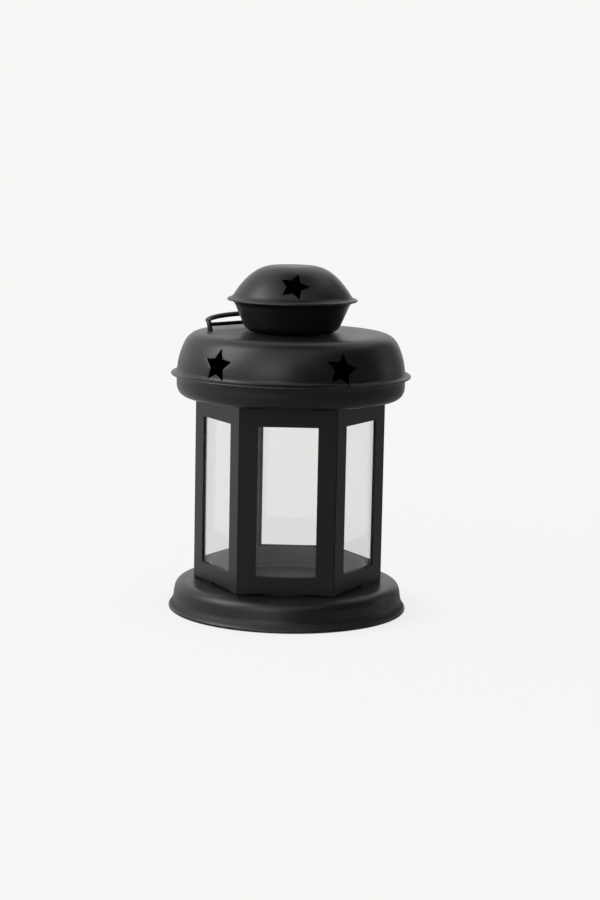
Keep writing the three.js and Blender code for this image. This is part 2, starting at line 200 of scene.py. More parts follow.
@dataclass(frozen=True)
class BlackPaint:
    """Satin black baked paint on sheet steel: hardly wavy, with a fine peel, soft handling
    marks, a breath of dust, rims lightened by wear and a painted highlight, and painted shade inside.

    Lengths are in millimetres, scales in grains per metre."""

    colour: Colour = (0.0044, 0.0044, 0.0048)
    dusty: Colour = (0.017, 0.0168, 0.0165)
    burnish_and_highlight: Colour = (0.026, 0.0255, 0.025)
    inside_shade: Colour = (0.0012, 0.0011, 0.001)
    gloss: float = 0.42
    roughness: float = 0.36
    peel: float = 0.10
    peel_depth: float = 0.12
    sway: float = 0.22
    ash: float = 0.55
    lit_inside_colour: Colour = (0.048, 0.048, 0.0482)
    lit_inside_dust: Colour = (0.06, 0.0598, 0.0595)
    inside_roughness: float = 0.4
    wear_and_highlight: float = 0.6
    scuffing: float = 0.24
    grain_scale: float = 2600.0
    peel_scale: float = 620.0
    wear_scale: float = 210.0
    mark_scale: float = 140.0
    cloud_scale: float = 34.0
    wave_scale: float = 26.0

    def lit_inside(self) -> "BlackPaint":
        """The same paint inside the chamber in a lighter grey: painted light for the brighter look of the
        chamber's inside.
        """
        return replace(self, colour=self.lit_inside_colour, dusty=self.lit_inside_dust, roughness=self.inside_roughness)

    def material(
        self,
        name: str,
        rim: float = 0.0,
        shade_inside: ShadeInside = ShadeInside.NONE,
        scuffed: float = 0.0,
    ) -> bpy.types.Material:
        """The paint for one piece.

        Args:
            name: Name of the material.
            rim: Radius of the rim that is lightened by wear and a painted highlight, or 0 for none.
            shade_inside: Which inner faces are darkened with painted shade.
            scuffed: Radius from which the paint is scuffed dull as far as the rim, or 0 for none.

        Returns:
            The material.
        """
        material, net = new_material(name)
        at = net.place()
        grain = net.noise(at, self.grain_scale)
        peel = net.noise(at, self.peel_scale, 2.0, 0.45)
        cloud = net.noise(at, self.cloud_scale, 3.0, 0.55)
        marks = net.noise(at, self.mark_scale, 4.0, 0.6).between(0.56, 0.78)
        facing = net.node("ShaderNodeNewGeometry", output="Normal")
        up = net.node("ShaderNodeSeparateXYZ", inputs={0: facing}, output="Z")
        flat = net.node("ShaderNodeVectorMath", {"operation": "MULTIPLY"}, {0: at, 1: (1.0, 1.0, 0.0)})
        dust = up.between(0.55, 1.0) * cloud.between(0.35, 0.75) * (0.35 + 0.65 * grain.between(0.4, 0.65))
        colour = net.blend(dust * self.ash, (*self.colour, 1.0), (*self.dusty, 1.0))
        roughness = self.roughness + 0.10 * (cloud - 0.5) + 0.05 * marks + 0.10 * (grain - 0.5)
        radius = net.node("ShaderNodeVectorMath", {"operation": "LENGTH"}, {0: flat}, output="Value")
        if scuffed:
            dull = radius.between((scuffed - 0.7) * MM, (scuffed + 0.5) * MM)
            kept = 1.0 - radius.between((rim - 0.95) * MM, (rim - 0.75) * MM)
            roughness = roughness + self.scuffing * dull * kept
        # Wear and painted highlight: patches along the rim are lightened, partly worn paint and partly the
        # light line that rims catch.
        if rim:
            edge = radius.between((rim - 0.75) * MM, (rim - 0.1) * MM)
            worn_and_highlit = edge * net.noise(at, self.wear_scale, 3.0, 0.6).between(0.42, 0.66)
            colour = net.blend(worn_and_highlit * self.wear_and_highlight, colour, (*self.burnish_and_highlight, 1.0))
            roughness = roughness - 0.08 * worn_and_highlit
        # Painted shade: the inner faces under the domes and in the cups are darkened and dulled.
        if shade_inside is not ShadeInside.NONE:
            out = net.node("ShaderNodeVectorMath", {"operation": "NORMALIZE"}, {0: flat})
            both = {0: facing, 1: out}
            away = net.node("ShaderNodeVectorMath", {"operation": "DOT_PRODUCT"}, both, output="Value")
            inner_shade = (shade_inside.value * up - away).between(0.0, 0.25)
            colour = net.blend(inner_shade, colour, (*self.inside_shade, 1.0))
            roughness = roughness + 0.5 * inner_shade
        wave = net.noise(at, self.wave_scale, 1.0, 0.4)
        broad = {"Strength": 1.0, "Distance": self.sway * MM, "Height": wave}
        swayed = net.node("ShaderNodeBump", inputs=broad)
        fine = {
            "Strength": self.peel,
            "Distance": self.peel_depth * MM,
            "Height": peel + 0.35 * grain,
            "Normal": swayed,
        }
        bump = net.node("ShaderNodeBump", inputs=fine)
        inputs = {
            "Base Color": colour,
            "Roughness": roughness,
            "Specular IOR Level": self.gloss,
            "Normal": bump,
        }
        net.finish(net.node("ShaderNodeBsdfPrincipled", inputs=inputs))
        return material


@dataclass(frozen=True)
class ClearGlass:
    """Window glass, a little grey, with faint wiping marks, that lets lamps shine through."""

    tint: Colour = (0.918, 0.921, 0.918)
    passed: Colour = (0.84, 0.845, 0.84)
    bending: float = 1.46
    polish: float = 0.004
    smear: float = 0.02
    smear_scale: float = 95.0

    def material(self, name: str) -> bpy.types.Material:
        """The glass for one pane.

        Args:
            name: Name of the material.

        Returns:
            The material.
        """
        material, net = new_material(name)
        at = net.place()
        long_way = net.node("ShaderNodeVectorMath", {"operation": "MULTIPLY"}, {0: at, 1: (1.0, 1.0, 0.22)})
        wiped = net.noise(long_way, self.smear_scale, 3.0, 0.6).between(0.5, 0.8)
        inputs = {
            "Base Color": (*self.tint, 1.0),
            "Roughness": self.polish + self.smear * wiped,
            "IOR": self.bending,
            "Transmission Weight": 1.0,
        }
        pane = net.node("ShaderNodeBsdfPrincipled", inputs=inputs)
        clear = net.node("ShaderNodeBsdfTransparent", inputs={"Color": (*self.passed, 1.0)})
        lamp = net.node("ShaderNodeLightPath", output="Is Shadow Ray")
        net.finish(net.node("ShaderNodeMixShader", inputs={0: lamp, 1: pane, 2: clear}))
        return material


class Bench:
    """The hand operations that the pieces are made with.

    Merging lengths are in millimetres; edges sharper than the angle in degrees are rounded."""

    MERGE: float = 0.002
    SHEET_MERGE: float = 0.03
    CUT_MERGE: float = 0.1
    SHARP: float = 42.0
    ROUND_FACETS: int = 2
    SPUN_FACETS: int = 128

    @staticmethod
    def clear() -> None:
        """Leaves edit mode and lets go of every object."""
        if bpy.context.mode != "OBJECT":
            bpy.ops.object.mode_set(mode="OBJECT")
        bpy.ops.object.select_all(action="DESELECT")

    @staticmethod
    def take(piece: bpy.types.Object) -> None:
        """Selects one object alone."""
        Bench.clear()
        piece.select_set(True)
        bpy.context.view_layer.objects.active = piece

    @staticmethod
    def edit(piece: bpy.types.Object) -> None:
        """Opens one object in edit mode with all of it selected."""
        Bench.take(piece)
        bpy.ops.object.mode_set(mode="EDIT")
        bpy.ops.mesh.select_mode(type=Part.POINT.value)
        bpy.ops.mesh.select_all(action="SELECT")

    @staticmethod
    def named(name: str) -> bpy.types.Object:
        """Names the object just added."""
        piece = bpy.context.object
        piece.name = name
        piece.data.name = name
        return piece

    @staticmethod
    def settle(piece: bpy.types.Object) -> None:
        """Applies an object's place, turn and scale to its mesh."""
        Bench.take(piece)
        bpy.ops.object.transform_apply(location=True, rotation=True, scale=True)

    @staticmethod
    def pick(piece: bpy.types.Object, kind: Part, test: Callable[[Vector], bool]) -> None:
        """Selects in edit mode by place.

        Args:
            piece: The object in edit mode.
            kind: Points, edges or faces.
            test: True for the middle of what is wanted.
        """
        bpy.ops.mesh.select_mode(type=kind.value)
        bpy.ops.mesh.select_all(action="DESELECT")
        mesh = bmesh.from_edit_mesh(piece.data)
        items = {Part.POINT: mesh.verts, Part.EDGE: mesh.edges, Part.FACE: mesh.faces}[kind]
        for item in items:
            points = [item.co] if kind is Part.POINT else [vert.co for vert in item.verts]
            item.select_set(test(sum(points, Vector()) / len(points)))
        mesh.select_flush_mode()
        bmesh.update_edit_mesh(piece.data)

    @staticmethod
    def outline(name: str, line: Line) -> bpy.types.Object:
        """Draws an open line, left in edit mode.

        Args:
            name: Name of the object.
            line: Its points, in millimetres.

        Returns:
            The object.
        """
        Bench.clear()
        bpy.ops.mesh.primitive_plane_add(size=MM, location=line[0] * MM)
        piece = Bench.named(name)
        Bench.settle(piece)
        Bench.edit(piece)
        bpy.ops.mesh.merge(type="CENTER")
        for start, end in zip(line, line[1:]):
            bpy.ops.mesh.extrude_vertices_move(TRANSFORM_OT_translate={"value": (end - start) * MM})
        bpy.ops.mesh.select_all(action="SELECT")
        return piece

    @staticmethod
    def spun(name: str, line: Line) -> bpy.types.Object:
        """Spins a profile round the lantern's axis, facing the right of the profile's direction.

        Args:
            name: Name of the object.
            line: The profile in the XZ plane, in millimetres.

        Returns:
            The open sheet.
        """
        piece = Bench.outline(name, line)
        bpy.ops.mesh.spin(
            steps=Bench.SPUN_FACETS,
            angle=math.tau,
            center=(0.0, 0.0, 0.0),
            axis=(0.0, 0.0, 1.0),
        )
        bpy.ops.mesh.select_all(action="SELECT")
        bpy.ops.mesh.remove_doubles(threshold=Bench.MERGE * MM)
        Bench.in_order(piece)
        Bench.face_out()
        longest = max(range(1, len(line)), key=lambda i: (line[i] - line[i - 1]).length)
        along = line[longest] - line[longest - 1]
        middle = (line[longest] + line[longest - 1]) / 2 * MM
        outward = Vector((along.z, -along.x))
        mesh = bmesh.from_edit_mesh(piece.data)

        def distance(face: bmesh.types.BMFace) -> float:
            """How far a face lies from the middle of the profile's longest part."""
            centre = face.calc_center_median()
            return abs(centre.xy.length - middle.x) + abs(centre.z - middle.z)

        nearest = min(mesh.faces, key=distance)
        centre = nearest.calc_center_median()
        facing = Vector((nearest.normal.xy.dot(centre.xy.normalized()), nearest.normal.z))
        if facing.dot(outward) < 0:
            bpy.ops.mesh.flip_normals()
        Bench.clear()
        return piece

    @staticmethod
    def modify(piece: bpy.types.Object, kind: str, **settings: object) -> None:
        """Adds a modifier and applies it.

        Args:
            piece: The object.
            kind: The modifier's type.
            settings: Its properties.
        """
        modifier = piece.modifiers.new(kind.title(), kind)
        for name, setting in settings.items():
            setattr(modifier, name, setting)
        Bench.take(piece)
        bpy.ops.object.modifier_apply(modifier=modifier.name)

    @staticmethod
    def thicken(piece: bpy.types.Object, sheet: float) -> None:
        """Gives a sheet its thickness on its inner side, in millimetres."""
        Bench.modify(piece, "SOLIDIFY", thickness=sheet * MM, offset=-1.0, use_even_offset=True)
        Bench.clean(piece, Bench.SHEET_MERGE)

    @staticmethod
    def soften(piece: bpy.types.Object, width: float) -> None:
        """Rounds the sharp edges by a width in millimetres."""
        Bench.modify(
            piece,
            "BEVEL",
            width=width * MM,
            segments=Bench.ROUND_FACETS,
            limit_method="ANGLE",
            angle_limit=math.radians(Bench.SHARP),
            use_clamp_overlap=False,
        )
        Bench.clean(piece)

    @staticmethod
    def in_order(piece: bpy.types.Object) -> None:
        """Sorts edges and faces in edit mode by their points, so that each run gives the same mesh."""
        mesh = bmesh.from_edit_mesh(piece.data)
        mesh.verts.index_update()
        count = len(mesh.verts)

        def rank(item: bmesh.types.BMEdge | bmesh.types.BMFace) -> float:
            """One number from the three lowest of an item's points."""
            lowest = sorted(vert.index for vert in item.verts)[:3]
            return sum(index * count ** (2 - place) for place, index in enumerate(lowest))

        for items in (mesh.edges, mesh.faces):
            items.sort(key=rank)
            items.index_update()
        bmesh.update_edit_mesh(piece.data)

    @staticmethod
    def face_out() -> None:
        """Turns all faces of the mesh in edit mode outwards."""
        bpy.ops.mesh.select_all(action="SELECT")
        bpy.ops.mesh.normals_make_consistent(inside=False)

    @staticmethod
    def clean(piece: bpy.types.Object, least: float = MERGE) -> None:
        """Merges what is closer than a least length in millimetres, so no face is left without area."""
        Bench.edit(piece)
        bpy.ops.mesh.remove_doubles(threshold=least * MM)
        bpy.ops.mesh.dissolve_degenerate(threshold=least * MM)
        Bench.face_out()
        Bench.clear()

    @staticmethod
    def weld(piece: bpy.types.Object, other: bpy.types.Object) -> None:
        """Makes one solid of two that overlap, and throws the second away."""
        Bench.modify(piece, "BOOLEAN", operation="UNION", solver="EXACT", object=other)
        bpy.data.objects.remove(other)
        Bench.clean(piece)

    @staticmethod
    def cut(piece: bpy.types.Object, tools: Iterable[bpy.types.Object]) -> None:
        """Cuts tools out of a piece and throws them away."""
        for tool in tools:
            Bench.modify(piece, "BOOLEAN", operation="DIFFERENCE", solver="EXACT", object=tool)
            bpy.data.objects.remove(tool)
        Bench.clean(piece, Bench.CUT_MERGE)

    @staticmethod
    def smooth(piece: bpy.types.Object, angle: float = 34.0) -> None:
        """Shades smooth across edges flatter than an angle in degrees."""
        Bench.take(piece)
        bpy.ops.object.shade_smooth_by_angle(angle=math.radians(angle))

    @staticmethod
    def shell(
        name: str,
        line: Line,
        sheet: float,
        edge: float,
        tools: Sequence[bpy.types.Object] = (),
    ) -> bpy.types.Object:
        """A spun shell with its cut-outs and rounded edges.

        Args:
            name: Name of the object.
            line: Profile of its outer side, in millimetres.
            sheet: Its thickness.
            edge: Width of the rounded edges.
            tools: What is cut out of it.

        Returns:
            The finished mesh.
        """
        piece = Bench.spun(name, line)
        Bench.thicken(piece, sheet)
        if tools:
            Bench.cut(piece, tools)
        Bench.soften(piece, edge)
        Bench.smooth(piece)
        return piece

    @staticmethod
    def box(name: str, size: Place, middle: Place) -> bpy.types.Object:
        """A block.

        Args:
            name: Name of the object.
            size: Its lengths along the axes, in millimetres.
            middle: Its middle, in millimetres.

        Returns:
            The block.
        """
        Bench.clear()
        bpy.ops.mesh.primitive_cube_add(size=MM)
        piece = Bench.named(name)
        piece.scale = size
        piece.location = Vector(middle) * MM
        Bench.settle(piece)
        return piece

    @staticmethod
    def turned_copy(piece: bpy.types.Object, name: str, angle: float) -> bpy.types.Object:
        """A copy with its own mesh, turned round the axis.

        Args:
            piece: What is copied.
            name: Name of the copy.
            angle: Turn in radians.

        Returns:
            The copy.
        """
        copy = piece.copy()
        copy.data = piece.data.copy()
        copy.name = copy.data.name = name
        bpy.context.collection.objects.link(copy)
        copy.rotation_euler.z = angle
        Bench.settle(copy)
        return copy


@dataclass(frozen=True)
class Corner:
    """A corner of a profile in millimetres, rounded from a length before it to a length after it."""

    radius: float
    level: float
    before: float = 0.0
    after: float | None = None

    @property
    def at(self) -> Vector:
        """The corner's point."""
        return Vector((self.radius, 0.0, self.level))


def rounded(
    corners: Sequence[Corner],
    fewest: int = 6,
    most: int = 22,
    shortest: float = 0.03,
) -> Line:
    """The smooth line through rounded corners.

    Args:
        corners: The profile's corners, in order.
        fewest: Least number of steps round a corner; a longer rounding has more.
        most: Greatest number of steps.
        shortest: Least step in millimetres; points closer than that are left out.

    Returns:
        Its points.
    """
    line: Line = []
    for i, corner in enumerate(corners):
        points = [corner.at]
        if corner.before:
            after = corner.before if corner.after is None else corner.after
            entry = corner.at + (corners[i - 1].at - corner.at).normalized() * corner.before
            leave = corner.at + (corners[i + 1].at - corner.at).normalized() * after
            steps = min(fewest + math.ceil(corner.before), most)
            shares = [k / steps for k in range(steps + 1)]
            points = [entry * (1 - t) ** 2 + corner.at * 2 * t * (1 - t) + leave * t**2 for t in shares]
        line += [point for point in points if not line or (point - line[-1]).length > shortest]
    return line


def radius_at(line: Line, level: float) -> float:
    """Radius of a profile at a level, on its last pass upwards.

    Args:
        line: The profile.
        level: The level.

    Returns:
        The radius.
    """
    found = 0.0
    for low, high in zip(line, line[1:]):
        if low.z < level <= high.z:
            found = low.x + (high.x - low.x) * (level - low.z) / (high.z - low.z)
    return found


def dress(
    piece: bpy.types.Object,
    material: bpy.types.Material,
    body: Body,
    slot: Slot,
    *nodes: str,
) -> None:
    """Finishes a piece and hands it to the frame.

    Args:
        piece: The object.
        material: Its finish.
        body: The group that it moves with.
        slot: The record's finish; not used.
        nodes: The solids that it stands for.
    """
    piece.data.materials.clear()
    piece.data.materials.append(material)
    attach(piece, body.value)
    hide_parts(*nodes)
    LOG.info("%s: %d faces", piece.name, len(piece.data.polygons))


@dataclass(frozen=True)
class Stock:
    """Sheet, gap and the levels that the pieces stack up to, in millimetres."""

    sheet: float = 0.6
    gap: float = 0.25
    leaf: float = 0.42
    skin: float = 0.5
    curl: float = 0.75
    curl_rise: float = 0.5
    curl_drop: float = 0.55
    slack: float = 0.06
    press: float = 0.02
    edge: float = 0.12
    hinge_reach: float = 49.162
    base_top: float = 17.2
    panel_foot: float = 17.45
    panel_top: float = 129.7
    pan_bottom: float = 129.95
    roof_seam: float = 143.35
    roof_rim_top: float = 144.8
    roof_top: float = 169.4
    neck_bottom: float = 169.65
    cap_seam: float = 188.4
    cap_rim_top: float = 189.85
    cap_top: float = 209.5

    @property
    def roof_lip(self) -> float:
        """Level at which the two sheets of the roof's rim meet."""
        return (self.roof_seam + self.roof_rim_top) / 2

    @property
    def cap_lip(self) -> float:
        """Level at which the two sheets of the cap's rim meet."""
        return (self.cap_seam + self.cap_rim_top) / 2

    def curled(self, rim: float, lip: float) -> list[Corner]:
        """First corners of a dome's profile: its edge, turned down a little over the flange below."""
        return [Corner(rim, lip - self.curl_drop), Corner(rim, lip + self.curl_rise, self.curl)]

    def tucked(self, rim: float, lip: float) -> Corner:
        """Last corner of a flange's profile: its end, which lies under such an edge."""
        return Corner(rim - self.skin - self.slack, lip + self.press - self.leaf)


@dataclass(frozen=True)
class StarVent:
    """A ring of star-shaped cut-outs, in millimetres and degrees."""

    count: int
    tip: float
    level: float
    bearing: float
    spacing: float
    tilt: float
    drift: float
    pitch: float
    waist: float = 0.5
    corner: float = 0.4
    corner_facets: int = 3
    depth: float = 20.0

    def punches(self, line: Line) -> list[bpy.types.Object]:
        """Star-shaped bars that cut the vents.

        Args:
            line: Profile of the sheet that they go through.

        Returns:
            One bar for each star.
        """
        Bench.clear()
        bpy.ops.mesh.primitive_circle_add(vertices=10, radius=self.tip * MM, fill_type="NGON")
        star = Bench.named("star_punch")
        Bench.edit(star)
        fifth = math.tau / 5

        def at_waist(at: Vector) -> bool:
            """Whether a point lies between two tips of the star."""
            return abs(math.remainder(math.atan2(at.x, at.y), fifth)) > fifth / 4

        Bench.pick(star, Part.POINT, at_waist)
        bpy.ops.transform.resize(value=(self.waist, self.waist, 1.0), center_override=(0.0, 0.0, 0.0))
        bpy.ops.mesh.select_all(action="SELECT")
        bpy.ops.mesh.bevel(affect="VERTICES", offset=self.corner * MM, segments=self.corner_facets)
        bpy.ops.mesh.select_all(action="SELECT")
        bpy.ops.transform.translate(value=(0.0, 0.0, -self.depth / 2 * MM))
        bpy.ops.mesh.extrude_region_move(TRANSFORM_OT_translate={"value": (0.0, 0.0, self.depth * MM)})
        Bench.in_order(star)
        Bench.face_out()
        Bench.clear()
        there = Matrix.Translation(Vector((0.0, -radius_at(line, self.level), self.level)) * MM)
        lean = Matrix.Rotation(math.pi / 2 - math.radians(self.pitch), 4, "X")
        punches = []
        for i in range(self.count):
            punch = Bench.turned_copy(star, f"star_punch_{i}", math.radians(i * self.drift - self.tilt))
            turn = Matrix.Rotation(math.radians(self.bearing + i * self.spacing), 4, "Z")
            punch.matrix_world = turn @ there @ lean
            Bench.settle(punch)
            punches.append(punch)
        bpy.data.objects.remove(star)
        return punches


@dataclass
class Base:
    """The spun dish that stands on the table, with the collar that the upper part slips over.

    Sizes are in millimetres."""

    stock: Stock
    paint: BlackPaint
    rim: float = 72.612
    ledge: float = 2.55
    wall_level: float = 5.1
    wall_lean: float = 1.75
    shoulder: float = 6.0
    foot: float = 2.6
    roll: float = 1.5
    roll_corner: float = 0.7
    brim: float = 0.8
    flare: float = 2.4
    recess: float = 47.65
    recess_depth: float = 1.8
    recess_corner: float = 0.8
    collar: float = 46.75
    collar_height: float = 12.6
    collar_flange: float = 4.0
    collar_corner: float = 1.2
    edge: float = 0.15
    ash: float = 0.8
    scuffed_from: float = 0.4

    def build(self) -> None:
        """Makes and dresses the dish and the collar."""
        stock = self.stock
        floor = stock.base_top - self.recess_depth
        wall = self.rim - self.ledge
        line = rounded([
            Corner(self.rim - self.foot, 0.0),
            Corner(self.rim, 0.0, self.roll_corner),
            Corner(self.rim, self.roll, self.roll_corner),
            Corner(self.rim - self.brim, self.roll + self.brim),
            Corner(wall, self.wall_level, self.flare),
            Corner(wall - self.wall_lean, stock.base_top, self.shoulder),
            Corner(self.recess, stock.base_top, self.recess_corner),
            Corner(self.recess, floor, self.recess_corner),
            Corner(0.0, floor),
        ])
        dish = Bench.shell("dish", line, stock.leaf, self.edge)
        dusty = replace(self.paint, ash=self.ash)
        finish = dusty.material("dish paint", self.rim, scuffed=wall + self.scuffed_from)
        dress(dish, finish, Body.BASE, Slot.PAINT, "base_shell")

        bottom = floor + stock.gap
        line = rounded([
            Corner(self.collar - self.collar_flange, bottom),
            Corner(self.collar, bottom, self.collar_corner),
            Corner(self.collar, bottom + self.collar_height),
        ])
        ring = Bench.shell("collar", line, stock.sheet, self.edge)
        # Painted light: the collar takes the lighter grey inside paint.
        dress(ring, self.paint.lit_inside().material("collar paint"), Body.BASE, Slot.PAINT, "base_collar")


@dataclass
class Sides:
    """The six glazed sides of the body: folded panels, panes and the keepers in the corners.

    Sizes are in millimetres; a crease is the least angle that is shaded sharp, in degrees."""

    stock: Stock
    paint: BlackPaint
    glass: ClearGlass
    count: int = 6
    apothem: float = 49.85
    lip_level: float = 2.6
    arch: float = 1.3
    foot: float = 3.0
    window: float = 35.3
    lower_rail: float = 11.25
    upper_rail: float = 11.5
    arch_cuts: int = 31
    panel_edge: float = 0.24
    pane: float = 2.0
    pane_inset: float = 3.1
    pane_edge: float = 0.35
    pane_crease: float = 20.0
    wing: float = 7.5
    wing_edge: float = 0.09
    web_root: float = 0.2
    seam: float = 0.1
    spare: float = 3.0
    root: float = 0.3
    crease: float = 12.0

    @property
    def half_turn(self) -> float:
        """Half the angle of one side, in radians."""
        return math.pi / self.count

    @property
    def half(self) -> float:
        """Half the width of a side at its face."""
        return self.apothem * math.tan(self.half_turn)

    @property
    def pane_back(self) -> float:
        """Distance from the axis to the back of a pane."""
        return self.apothem - self.stock.sheet - self.stock.gap - self.pane

    @property
    def lip(self) -> float:
        """Depth of the lips, which reach as far as the panes that stand on them."""
        return self.apothem - self.pane_back

    @property
    def pane_bottom(self) -> float:
        """Level of the panes' lower edges."""
        return self.stock.panel_foot + self.lip_level + self.stock.sheet + self.stock.gap

    @property
    def pane_top(self) -> float:
        """Level of the panes' upper edges."""
        return self.stock.panel_top - self.stock.sheet - self.stock.gap

    def blank(self) -> bpy.types.Object:
        """The sheet of the front panel, wider than its side, with window, arched foot and upper lip.

        Returns:
            The sheet, not yet thick.
        """
        stock = self.stock
        height = stock.panel_top - stock.panel_foot
        middle = (stock.panel_top + stock.panel_foot) / 2
        Bench.clear()
        bpy.ops.mesh.primitive_plane_add(size=MM)
        panel = Bench.named("panel")
        panel.location = Vector((0.0, -self.apothem, middle)) * MM
        panel.rotation_euler.x = math.pi / 2
        panel.scale = (2 * (self.half + self.spare), height, 1.0)
        Bench.settle(panel)
        Bench.edit(panel)
        stile = self.half + self.spare - self.window / 2
        bpy.ops.mesh.inset(thickness=stile * MM, use_even_offset=True)
        inside = self.window / 2 * MM + NEAR
        Bench.pick(panel, Part.POINT, lambda at: abs(at.x) < inside and at.z < middle * MM)
        bpy.ops.transform.translate(value=(0.0, 0.0, (self.lower_rail - stile) * MM))
        Bench.pick(panel, Part.POINT, lambda at: abs(at.x) < inside and at.z > middle * MM)
        bpy.ops.transform.translate(value=(0.0, 0.0, (stile - self.upper_rail) * MM))
        near = height / 4 * MM
        Bench.pick(panel, Part.FACE, lambda at: abs(at.x) < NEAR and abs(at.z - middle * MM) < near)
        bpy.ops.mesh.delete(type="FACE")
        low = stock.panel_foot * MM
        Bench.pick(panel, Part.EDGE, lambda at: abs(at.z - low) < NEAR)
        bpy.ops.mesh.subdivide(number_cuts=self.arch_cuts)
        reach = (self.half - self.foot) * MM
        mesh = bmesh.from_edit_mesh(panel.data)
        edge = [at.co.x for at in mesh.verts if abs(at.co.z - low) < NEAR and abs(at.co.x) < reach]
        for x in edge:
            Bench.pick(panel, Part.POINT, lambda at: abs(at.z - low) < NEAR and abs(at.x - x) < NEAR)
            rise = self.arch * (1 - (x / reach) ** 2)
            bpy.ops.transform.translate(value=(0.0, 0.0, rise * MM))
        Bench.pick(panel, Part.EDGE, lambda at: abs(at.z - stock.panel_top * MM) < NEAR)
        bpy.ops.mesh.extrude_region_move(TRANSFORM_OT_translate={"value": (0.0, self.lip * MM, 0.0)})
        Bench.face_out()
        mesh = bmesh.from_edit_mesh(panel.data)
        if max(mesh.faces, key=lambda face: face.calc_area()).normal.y > 0:
            bpy.ops.mesh.flip_normals()
        return panel

    def panel(self) -> bpy.types.Object:
        """The panel that faces the front, with a lower shelf for the pane and mitred sides.

        Returns:
            The finished mesh.
        """
        stock = self.stock
        panel = self.blank()
        Bench.thicken(panel, stock.sheet)
        depth = self.apothem - (self.lip + stock.sheet - self.root) / 2
        shelf = Bench.box(
            "shelf",
            (2 * self.half + self.spare, self.lip - stock.sheet + self.root, stock.sheet),
            (0.0, -depth, stock.panel_foot + self.lip_level + stock.sheet / 2),
        )
        Bench.weld(panel, shelf)
        Bench.edit(panel)
        for side in (-1, 1):
            bpy.ops.mesh.select_all(action="SELECT")
            across = Vector((side * math.cos(self.half_turn), math.sin(self.half_turn), 0.0))
            start = across * -self.seam * MM
            bpy.ops.mesh.bisect(plane_co=start, plane_no=across, clear_outer=True, use_fill=True)
        Bench.face_out()
        Bench.soften(panel, self.panel_edge)
        Bench.smooth(panel, self.crease)
        return panel

    def glazing(self) -> bpy.types.Object:
        """The pane behind the front panel.

        Returns:
            The finished mesh.
        """
        width = 2 * (self.pane_back * math.tan(self.half_turn) - self.pane_inset)
        depth = self.pane_back + self.pane / 2
        pane = Bench.box(
            "pane",
            (width, self.pane, self.pane_top - self.pane_bottom),
            (0.0, -depth, (self.pane_top + self.pane_bottom) / 2),
        )
        Bench.soften(pane, self.pane_edge)
        Bench.smooth(pane, self.pane_crease)
        return pane

    def keeper(self) -> bpy.types.Object:
        """The folded strip of an inner corner, modelled at the front and not yet turned.

        Returns:
            The finished mesh.
        """
        stock = self.stock
        outer = self.pane_back - stock.gap
        cosine, sine = math.cos(self.half_turn), math.sin(self.half_turn)
        fold = Vector((0.0, -outer / cosine, self.pane_bottom))
        along = Vector((cosine, sine, 0.0))
        mirrored = Vector((-cosine, sine, 0.0))
        strip = Bench.outline("keeper", [fold + mirrored * self.wing, fold, fold + along * self.wing])
        tall = self.pane_top - self.pane_bottom
        bpy.ops.mesh.extrude_region_move(TRANSFORM_OT_translate={"value": (0.0, 0.0, tall * MM)})
        Bench.face_out()
        mesh = bmesh.from_edit_mesh(strip.data)
        mesh.faces.ensure_lookup_table()
        if mesh.faces[0].normal.y > 0:
            bpy.ops.mesh.flip_normals()
        Bench.thicken(strip, stock.sheet)
        front = (self.apothem - stock.sheet - stock.gap - stock.sheet * sine) / cosine
        back = (outer - self.web_root) / cosine
        web = Bench.box(
            "web",
            (2 * stock.sheet, front - back, tall),
            (0.0, -(front + back) / 2, (self.pane_top + self.pane_bottom) / 2),
        )
        Bench.weld(strip, web)
        Bench.soften(strip, self.wing_edge)
        Bench.smooth(strip, self.crease)
        return strip

    def build(self) -> None:
        """Makes one side and copies it round."""
        kinds = (
            (self.panel(), 0.0, self.paint, "paint", Slot.PAINT, "side_panel"),
            (self.glazing(), 0.0, self.glass, "glass", Slot.GLASS, "glass_pane"),
            # Painted light: the keepers take the lighter grey inside paint.
            (self.keeper(), self.half_turn, self.paint.lit_inside(), "paint", Slot.PAINT, "corner_keeper"),
        )
        for number in range(1, self.count + 1):
            for first, turn, finish, word, slot, node in kinds:
                angle = 2 * self.half_turn * (number - 1) + turn
                copy = Bench.turned_copy(first, f"{first.name}_{number}", angle)
                material = finish.material(f"{first.name} {word} {number}")
                dress(copy, material, Body.UPPER, slot, f"{node}_{number}")
        for first, *_ in kinds:
            bpy.data.objects.remove(first)


